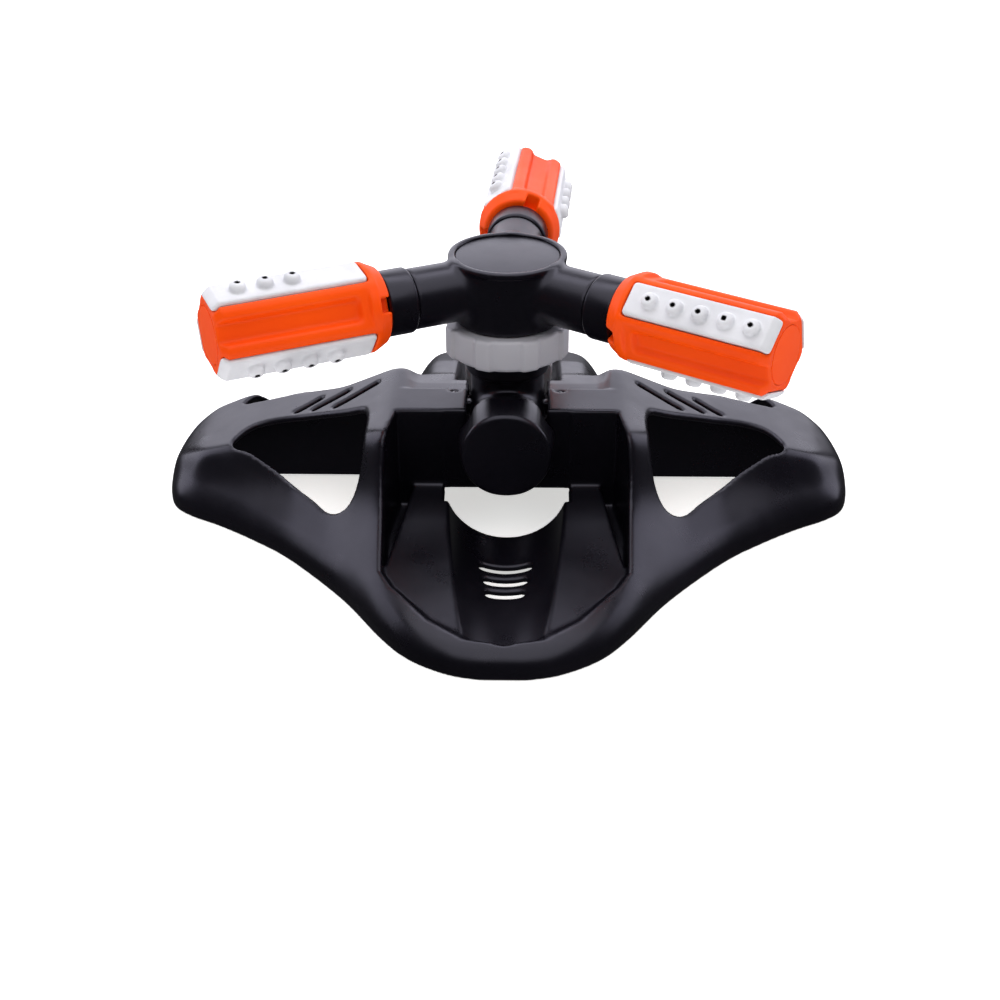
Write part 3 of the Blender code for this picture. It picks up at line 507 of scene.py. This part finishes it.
def plan_maps():
    """Maps over the plan: signed distances and the smoothed top height."""
    x, y = np.meshgrid(MAP_X, MAP_Y, indexing="ij")
    outline = loop_distance(OUTLINE, x, y)
    height = blurred(raw_hill(x, y, np.maximum(-outline, 0)), HILL_BLUR)
    gx, gy = np.gradient(height, MAP_STEP)
    openings = np.full(x.shape, 1e3)
    for loop in OPENING_LOOPS:
        openings = np.minimum(openings, loop_distance(loop, x, y))
    for start, end in WING_SLOTS:
        for sign in (-1, 1):
            slot = capsule_distance((sign * start[0], start[1]), (sign * end[0], end[1]),
                                    SLOT_WIDTH, x, y)
            openings = np.minimum(openings, slot)
    for slot_y, length in TROUGH_SLOTS:
        slot = capsule_distance((-length / 2, slot_y), (length / 2, slot_y),
                                TROUGH_SLOT_WIDTH, x, y)
        openings = np.minimum(openings, slot)
    for sign in (-1, 1):
        openings = np.minimum(openings, tube(x - sign * SCREW_X, y - SCREW_Y, SCREW_HOLE_R))
    return {"outline": outline, "height": height, "slope": np.sqrt(1 + gx ** 2 + gy ** 2),
            "openings": openings,
            "post": np.minimum(loop_distance(POST_HOLE, x, y), loop_distance(FLOOR_HOLE, x, y)),
            "well": loop_distance(WELL_LOOP, x, y)}


MAPS = plan_maps()


def outer_body(x, y, z, plan):
    """The base as if it were solid, with its valley, well and hose channel."""
    body = keep((z - plan["height"]) / plan["slope"], plan["outline"], 5.0)
    level = table(TONGUE_TOP, y)
    rise = np.clip((np.abs(x) - VALLEY_FLOOR_HALF) / VALLEY_BANK, 0, 1)
    level = level + (VALLEY_BANK_TOP - level) * rise * rise * (3 - 2 * rise)
    body = cut(body, keep(VALLEY_FRONT - y, (level - z) * 0.85, 1.2), 1.4)
    ramp_top = table(RAMP, y)
    over_ramp = (ramp_top - z) * 0.99
    ramp_edge = np.interp(y, [RAMP_FRONT, RAMP_BACK], [40, 32.4])
    pocket = keep(keep(ramp_edge - np.abs(x), ramp_top - POCKET_DROP - z, 1.5), RAMP_FRONT - y, 2.0)
    trough = tube(x, z - TROUGH_Z, TROUGH_R)
    space = join(join(over_ramp, trough, 0.8), pocket, 0.8)
    well = keep(plan["well"], space, 2.0)
    body = cut(body, well, 1.6)
    round_part = tube(x, np.minimum(z - TUBE_Z, 0), CHANNEL_R)
    channel = keep(round_part, CHANNEL_FRONT - y, 1.5)
    return cut(body, channel, 2.4)


def base_field(x, y, z):
    """The base moulding. The plan maps are sampled once per column of a grid."""
    x, y = np.broadcast_arrays(x, y)
    flat_x, flat_y = (x[..., 0], y[..., 0]) if x.ndim == 3 else (x, y)
    plan = {name: sample(values, flat_x, flat_y) for name, values in MAPS.items()}
    if x.ndim == 3:
        plan = {name: value[..., None] for name, value in plan.items()}
        x, y = flat_x[..., None], flat_y[..., None]
    outer = outer_body(x, y, z, plan)
    shell = keep(outer, -(outer + WALL), 0.5)
    rib = keep(slab(y, RIB_Y - RIB_HALF, RIB_Y + RIB_HALF), slab(np.abs(x), RIB_START, RIB_END), 0.3)
    rib = keep(rib, outer + 1.0, 0.3)
    rib = keep(rib, 1.0 - z, 0.3)
    shell = join(shell, rib, 1.0)
    shell = keep(shell, -z, 0.8)
    shell = cut(shell, plan["openings"], 1.7)
    shell = cut(shell, plan["post"], 0.8)
    bulkhead = slab(y, BULKHEAD_FRONT, BULKHEAD_BACK)
    saddle = keep(bulkhead, tube(x, np.minimum(z - TUBE_Z, 0), SADDLE_R), 0.3)
    below = keep(keep(bulkhead, z - SADDLE_FOOT, 0.3), np.abs(x) - BULKHEAD_HALF, 0.3)
    return cut(cut(shell, saddle, 0.7), below, 0.7)


def base_moulding():
    low, high = (-125.5, -105.5, 0), (125.5, 105.5, 50.5)
    mesh = field_mesh("base_moulding", base_field, low, high, 0.75)
    place("base_moulding", mesh, BLACK, "base", "base_shell")


# ============================================================ post
def manifold_field(x, y, z):
    stem_r = tube(x, y, 1.0) + 1.0
    tube_r = tube(x, z - TUBE_Z, 1.0) + 1.0
    stem = keep(stem_r - 12.7, slab(z, 36, 60), 0.4)
    neck = keep(stem_r - 14.4, slab(z, 58.2, 66), 1.0)
    head = keep(stem_r - 17.6, slab(z, 65.2, 70), 0.6)
    body = keep(tube_r - TUBE_R, slab(y, -19.6, 26.5), 1.0)
    spigot = keep(tube_r - 10.9, slab(y, -31.5, -18), 0.8)
    rear = keep(tube_r - 9.0, slab(y, 26, 36), 0.4)
    flange = keep(tube_r - 11.5, slab(y, 35, 37), 0.5)
    solid = join(join(stem, neck, 1.2), head, 0.8)
    solid = join(join(solid, body, 2.2), spigot, 0.3)
    solid = join(join(solid, rear, 1.0), flange, 0.6)
    lug_top = np.interp(y, [-3.4, -2.6, 0, 6], [47.3, 45.2, 45.0, 44.4])
    lug = keep(slab(np.abs(x), 10.5, 22.3), slab(y, -6.2, 5.8), 1.0)
    lug = keep(lug, slab(z, 42.1, lug_top), 0.8)
    solid = join(solid, lug, 0.8)
    solid = cut(solid, tube(np.abs(x) - SCREW_X, y - SCREW_Y, SCREW_PILOT_R), 0.3)
    stem_bore = keep(stem_r - np.where(z > 57, 8.2, 6.0), 38.7 - z, 0.3)
    tube_bore = keep(tube_r - np.where(y > 23, 6.8, 8.5), slab(y, -40, 45), 0.3)
    return cut(cut(solid, stem_bore, 0.6), tube_bore, 0.6)


def flutes(count, width, edge, depth, phase, z_low, z_high, inner, fade=1.5):
    """A radius change that presses hollows into the outside of a turned piece.

    width and edge are angles. The hollows grow over fade from z_low, and spare radii below inner.
    """
    def shape(r, z, angle):
        period = 2 * math.pi / count
        off = (angle - phase + period / 2) % period - period / 2
        t = np.clip((width + edge / 2 - np.abs(off)) / edge, 0, 1)
        hollow = t * t * (3 - 2 * t)
        ease = min(max((z - z_low) / fade, 0), 1) * min(max((z_high - z) / 1.5, 0), 1)
        return r - hollow * depth * ease * (r > inner)
    return shape


def post():
    mesh = field_mesh("manifold_moulding", manifold_field, (-23, -32, 27), (23, 38, 71), 0.6)
    place("manifold_moulding", mesh, BLACK, "base", "manifold_body")

    ring = turned_mesh("ring_moulding", [
        (14.2, 76.4), (20.9, 76.4), (21.8, 75.6), (21.8, 66.2), (20.6, 65), (18.2, 65), (18.2, 75.2),
        (14.2, 75.2)], 0.8, steps=288,
        shape=flutes(8, math.radians(14.3), math.radians(4.5), 1.0, 0.0, 63.5, 78, 19))
    place("ring_moulding", ring, GREY, "base", "retaining_ring")

    cap = turned_mesh("plug_moulding", [
        (0, -33), (11.3, -33), (11.3, -20.3), (15.6, -20.3), (16.2, -21), (15.4, -34), (14.3, -35),
        (0, -35)], 0.8, closed=False, steps=288,
        shape=flutes(6, math.radians(13), math.radians(18), 1.3, math.radians(30), -35.0, -18, 14, 9))
    place("plug_moulding", cap, BLACK, "outlet_plug", "outlet_cap",
          Matrix.Translation((0, 0, TUBE_Z * MM)) @ TURN["Y"])


post()
base_moulding()


# ============================================================ rotor
def rotor_profile(z):
    return np.interp(z, [76.7, 77.4, 97.4], [17.4, 17.9, 19.2])


def arm_coordinates(name, x, y, z):
    """Places along, across and above an arm's axis."""
    a = math.radians(ARM_AZIMUTHS[name])
    along = x * math.cos(a) + y * math.sin(a)
    across = -x * math.sin(a) + y * math.cos(a)
    return along, across, z - ARM_Z


def rotor_field(x, y, z):
    r = np.sqrt(x * x + y * y)
    neck = keep(r - rotor_profile(z), slab(z, 76.7, 99), 0.6)
    flange = keep(r - 20.0, slab(z, 97.7, 100.0), 0.9)
    journal = keep(r - 13.9, slab(z, 73, 79), 0.3)
    collar = keep(r - 16.5, slab(z, 71.8, 73.6), 0.5)
    spigot = keep(r - 7.6, slab(z, 60, 73), 0.5)
    solid = neck
    for name in ARM_AZIMUTHS:
        along, across, up = arm_coordinates(name, x, y, z)
        radial = tube(across, up, 1.0) + 1.0
        stub = keep(radial - 10.1, slab(along, 3, 36), 0.8)
        solid = join(solid, stub, 3.5)
        pipe = keep(radial - 7.2, slab(along, 3, 61), 0.6)
        pipe = cut(pipe, keep(5.8 - radial, slab(along, 54.6, 57.4), 0.2), 0.3)
        solid = join(solid, pipe, 0.4)
    solid = join(solid, flange, 0.5)
    solid = join(join(join(solid, journal, 0.4), collar, 0.4), spigot, 0.4)
    groove = keep(6.0 - r, slab(z, 62.6, 65.4), 0.2)
    solid = cut(solid, groove, 0.3)
    solid = cut(solid, keep(r - 17.7, 98.0 - z, 0.2), 0.3)
    solid = cut(solid, keep(r - 15.2, slab(z, 79.5, 99), 1.0), 0.4)
    solid = cut(solid, keep(r - 5.0, slab(z, 50, 90), 0.4), 0.4)
    for name in ARM_AZIMUTHS:
        along, across, up = arm_coordinates(name, x, y, z)
        solid = cut(solid, keep(tube(across, up, 4.2), -along, 0.3), 0.4)
    return solid


def arm_matrix(name):
    turn = Matrix.Rotation(math.radians(ARM_AZIMUTHS[name]), 4, "Z")
    return Matrix.Translation((0, 0, ARM_Z * MM)) @ turn


def rotor():
    mesh = field_mesh("rotor_moulding", rotor_field, (-56, -36, 60), (52, 62, 100), 0.6)
    place("rotor_moulding", mesh, BLACK, "rotor", "rotor_hub")
    disc = turned_mesh("hub_disc", [(0, 99.3), (17.52, 99.3), (17.52, 98.3), (0, 98.3)], 0.25,
                       closed=False, steps=160)
    place("hub_disc", disc, BLACK, "rotor", "hub_cap")
    sleeve = turned_mesh("sleeve_moulding", [
        (7.5, 46.2), (10.3, 46.2), (10.9, 45.6), (10.9, 36.9), (10.3, 36.15), (7.5, 36.15)],
        0.5, steps=128)
    for name in ARM_AZIMUTHS:
        place(f"sleeve_moulding_{name}", sleeve, BLACK, "rotor", f"arm_sleeve_{name}",
              arm_matrix(name) @ TURN["X"])


# ============================================================ barrels
def facing(angle, y, z):
    """Height and sideways place seen from a side that faces angle degrees round from +Z."""
    a = math.radians(angle)
    return z * math.cos(a) - y * math.sin(a), y * math.cos(a) + z * math.sin(a)


def barrel_field(x, y, z):
    """A barrel along X with a strip seat on every second face and a panel recess on the others."""
    radial = tube(y, z, 1.0) + 1.0
    body = None
    for side in range(6):
        height, _ = facing(60 * side, y, z)
        plane = height - BARREL_APOTHEM + np.maximum(x - 101.6, 0) * 0.8
        body = plane if body is None else soft_max(body, plane, 1.6)
    body = keep(body, slab(x, 50.5, BARREL_END), 0.9)
    lip_r = np.interp(x, [46.5, 47.2, 50.2, 51.2, 53.2, 54.2], [12.3, 12.8, 14.3, 14.7, 14.7, 14.0])
    collar = keep(radial - lip_r, slab(x, BARREL_START, 54.0), 0.7)
    solid = join(body, collar, 0.8)
    for strip in range(3):
        height, side = facing(120 * strip, y, z)
        seat = slab(side, -STRIP_WIDTH / 2 - STRIP_GAP, STRIP_WIDTH / 2 + STRIP_GAP)
        seat = keep(seat, SEAT_APOTHEM - height, 0.5)
        seat = keep(seat, STRIP_START - STRIP_GAP - x, 1.2)
        solid = cut(solid, seat, 0.5)
        port = keep(keep(slab(side, -2, 2), slab(x, 60, 98), 0.5), -height, 0.5)
        solid = cut(solid, keep(port, height - 13, 0.3), 0.3)
        height, side = facing(120 * strip + 60, y, z)
        depth = BARREL_APOTHEM - height
        wall = np.abs(side) - 4.3 + depth * 0.7
        ends = slab(x, 56.4 + 0.6 * depth, 107)
        recess = keep(keep(wall * 0.82, ends, 2.0), depth - 2.2, 0.7)
        solid = cut(solid, recess, 0.7)
        notch = keep(keep(slab(side, -2.4, 2.4), x - 50.3, 0.8), 9 - height, 0.3)
        solid = cut(solid, notch, 0.6)
    bore = keep(radial - np.where(x > 100.6, 9.5, 7.6), slab(x, 40, 110), 0.3)
    return cut(solid, bore, 0.5)


def strip_field(count):
    """A nozzle strip with a row of domes with bores through them, lying along X and facing +Z."""
    first = NOZZLE_ROWS[count]
    places = [first + i * NOZZLE_PITCH for i in range(count)]

    def field(x, y, z):
        end = BARREL_END + 0.2
        top = STRIP_TOP - np.maximum(x - (end - 2.6), 0) * 0.8
        strip = keep(keep(slab(y, -STRIP_WIDTH / 2, STRIP_WIDTH / 2), slab(x, STRIP_START, end), 1.6),
                     z - top, 1.1)
        strip = keep(strip, SEAT_APOTHEM + STRIP_GAP - z, 0.3)
        nearest = np.full(np.broadcast(x, y, z).shape, 1e3)
        for p in places:
            nearest = np.minimum(nearest, np.abs(x - p) + 0 * nearest)
        radial = np.sqrt(nearest ** 2 + y ** 2)
        over = z - STRIP_TOP
        dome = np.sqrt(radial ** 2 + np.maximum(over - 0.9, 0) ** 2 * 1.3) - 2.7
        dome = keep(dome, over - 2.7, 0.6)
        dome = keep(dome, -1.5 - over, 0.3)
        strip = join(strip, dome, 0.7)
        return cut(strip, radial - 0.7, 0.2)
    return field


def paint_bore_shade(mesh, count):
    """The vertices inside the nozzles' bores, marked for the shader, which paints them near black as
    painted shade.
    """
    co = np.empty(len(mesh.vertices) * 3, np.float32)
    mesh.vertices.foreach_get("co", co)
    x, y, z = (co.reshape(-1, 3) / MM).T
    places = NOZZLE_ROWS[count] + NOZZLE_PITCH * np.arange(count)
    off = np.hypot(np.abs(x[:, None] - places).min(axis=1), y)
    # Painted shade: these vertices are coloured near black by the rubber's shader.
    bore_shade_mask = (off < 0.85) & (z > STRIP_TOP - 4)
    mesh.attributes.new("bore", "FLOAT", "POINT").data.foreach_set("value", bore_shade_mask.astype(np.float32))


def barrels():
    body = field_mesh("barrel_moulding", barrel_field, (46.5, -15.6, -15.6), (104.5, 15.6, 15.6), 0.5)
    end_disc = turned_mesh("end_disc", [(0, 104), (9.42, 104), (9.42, 101), (0, 101)], 0.25,
                           closed=False, steps=128)
    strips = {}
    for count in NOZZLE_ROWS:
        strips[count] = field_mesh(f"strip_moulding_{count}", strip_field(count),
                                   (52.5, -6, 11.4), (104.5, 6, 17.4), 0.4)
        # Marks the bores for the painted shade in the rubber's shader.
        paint_bore_shade(strips[count], count)
    for name in ARM_AZIMUTHS:
        frame_of_barrel = arm_matrix(name) @ Matrix.Rotation(math.radians(ARM_ROLLS[name] - 90), 4, "X")
        ride = f"barrel_{name}"
        place(f"barrel_moulding_{name}", body, ORANGE, ride, f"barrel_body_{name}",
              frame_of_barrel)
        place(f"end_disc_{name}", end_disc, ORANGE, ride, f"barrel_end_cap_{name}",
              frame_of_barrel @ TURN["X"])
        for index, count in enumerate(NOZZLE_ROWS):
            place(f"strip_{count}_{name}", strips[count], RUBBER, ride, f"nozzle_strip_{count}_{name}",
                  frame_of_barrel @ Matrix.Rotation(math.radians(-120 * index), 4, "X"))


rotor()
barrels()


# ============================================================ pieces that stay as they are
# The CAD nodes without a piece of their own above are shown by their solids, in these finishes.
SLOT_FINISH = {"black_plastic": BLACK, "grey_plastic": GREY, "orange_plastic": ORANGE,
               "nozzle_rubber": RUBBER, "washer_plastic": WASHER, "seal_rubber": SEAL,
               "screw_steel": STEEL}
NODE_SLOT = {"inlet_nut": "grey_plastic", "inlet_filter": "washer_plastic",
             "inlet_washer": "seal_rubber", "outlet_gasket": "seal_rubber",
             "spindle_o_ring": "seal_rubber",
             "thrust_washer_lower": "washer_plastic", "thrust_washer_upper": "washer_plastic",
             "manifold_screw_left": "screw_steel", "manifold_screw_right": "screw_steel"}
for arm in ARM_AZIMUTHS:
    NODE_SLOT[f"arm_o_ring_{arm}"] = "seal_rubber"
for node, slot_name in NODE_SLOT.items():
    for material_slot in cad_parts[node].material_slots:
        material_slot.material = SLOT_FINISH[slot_name]


# ============================================================ floor, light, camera
# Metres here. Each light: name, place, aim, size, power, colour.
FLOOR_SIZE, FLOOR_GLOW = 6, 0.6
WORLD_LIGHT, BACKDROP = 0.05, 1.0
WHITE, COOL = (1.0, 1.0, 1.0), (0.90, 0.89, 1.0)
LIGHTS = [
    ("top_softbox", (0, -0.1, 1.0), (0, 0, 0.05), (1.8, 1.5), 15.5, WHITE),
    ("overhead_strip", (0, 0.35, 0.85), (0, 0, 0.06), (1.2, 0.3), 2.6, COOL),
    ("back_softbox", (0, 1.15, 0.48), (0, 0, 0.06), (1.7, 0.95), 9.5, COOL),
    ("left_softbox", (-1.05, 0.45, 0.45), (-0.1, 0, 0.04), (0.8, 0.7), 4, COOL),
    ("right_softbox", (1.05, 0.45, 0.45), (0.1, 0, 0.04), (0.8, 0.7), 4, COOL),
    ("front_softbox", (0, -0.95, 0.85), (0, 0, 0.04), (1.6, 0.3), 1.6, WHITE),
]
CAMERA_PLACE = (0.00725, -0.51928, 0.30006)
CAMERA_TILT, CAMERA_TURN = 60.38, 0.8
CAMERA_LENS, CAMERA_SENSOR, CAMERA_SHIFT_X = 59.24, 36, -0.00755


def stage():
    bpy.ops.mesh.primitive_plane_add(size=FLOOR_SIZE, location=(0, 0, 0))
    floor = bpy.context.object
    floor.name = "floor"
    mat, nodes, links, shader = node_material("floor_paper")
    coords = nodes.new("ShaderNodeTexCoord").outputs["Object"]
    cloud = noise(nodes, links, coords, 3, 3)
    paper = ramp(nodes, links, cloud, [(0.3, (0.84, 0.84, 0.835)), (0.7, (0.88, 0.88, 0.875))])
    links.new(paper, shader.inputs["Base Color"])
    shader.inputs["Roughness"].default_value = 0.9
    shader.inputs["Specular IOR Level"].default_value = 0.1
    shader.inputs["Emission Color"].default_value = (1.0, 1.0, 0.98, 1.0)
    shader.inputs["Emission Strength"].default_value = FLOOR_GLOW
    floor.data.materials.append(mat)
    floor.visible_glossy = False


def light(name, location, target, size, power, colour):
    data = bpy.data.lights.new(name, "AREA")
    data.shape = "RECTANGLE"
    data.size, data.size_y = size
    data.energy = power
    data.color = colour
    obj = bpy.data.objects.new(name, data)
    bpy.context.scene.collection.objects.link(obj)
    obj.location = location
    obj.rotation_euler = (Vector(target) - Vector(location)).to_track_quat("-Z", "Y").to_euler()


def studio():
    """The softboxes, and a world that is pale to the camera and dim as a light."""
    world = bpy.data.worlds.new("studio")
    bpy.context.scene.world = world
    world.use_nodes = True
    nodes, links = world.node_tree.nodes, world.node_tree.links
    background = nodes["Background"]
    background.inputs["Color"].default_value = (*WHITE, 1.0)
    seen = nodes.new("ShaderNodeLightPath").outputs["Is Camera Ray"]
    links.new(remap(nodes, links, seen, 0, 1, WORLD_LIGHT, BACKDROP), background.inputs["Strength"])
    for settings in LIGHTS:
        light(*settings)


def camera():
    data = bpy.data.cameras.new("camera")
    obj = bpy.data.objects.new("camera", data)
    bpy.context.scene.collection.objects.link(obj)
    obj.location = CAMERA_PLACE
    obj.rotation_euler = (math.radians(CAMERA_TILT), 0, math.radians(CAMERA_TURN))
    data.lens = CAMERA_LENS
    data.sensor_width = CAMERA_SENSOR
    data.shift_x = CAMERA_SHIFT_X
    data.clip_start = 0.01
    bpy.context.scene.camera = obj


stage()
studio()
camera()
bpy.context.scene.view_settings.view_transform = "Standard"
bpy.context.view_layer.update()
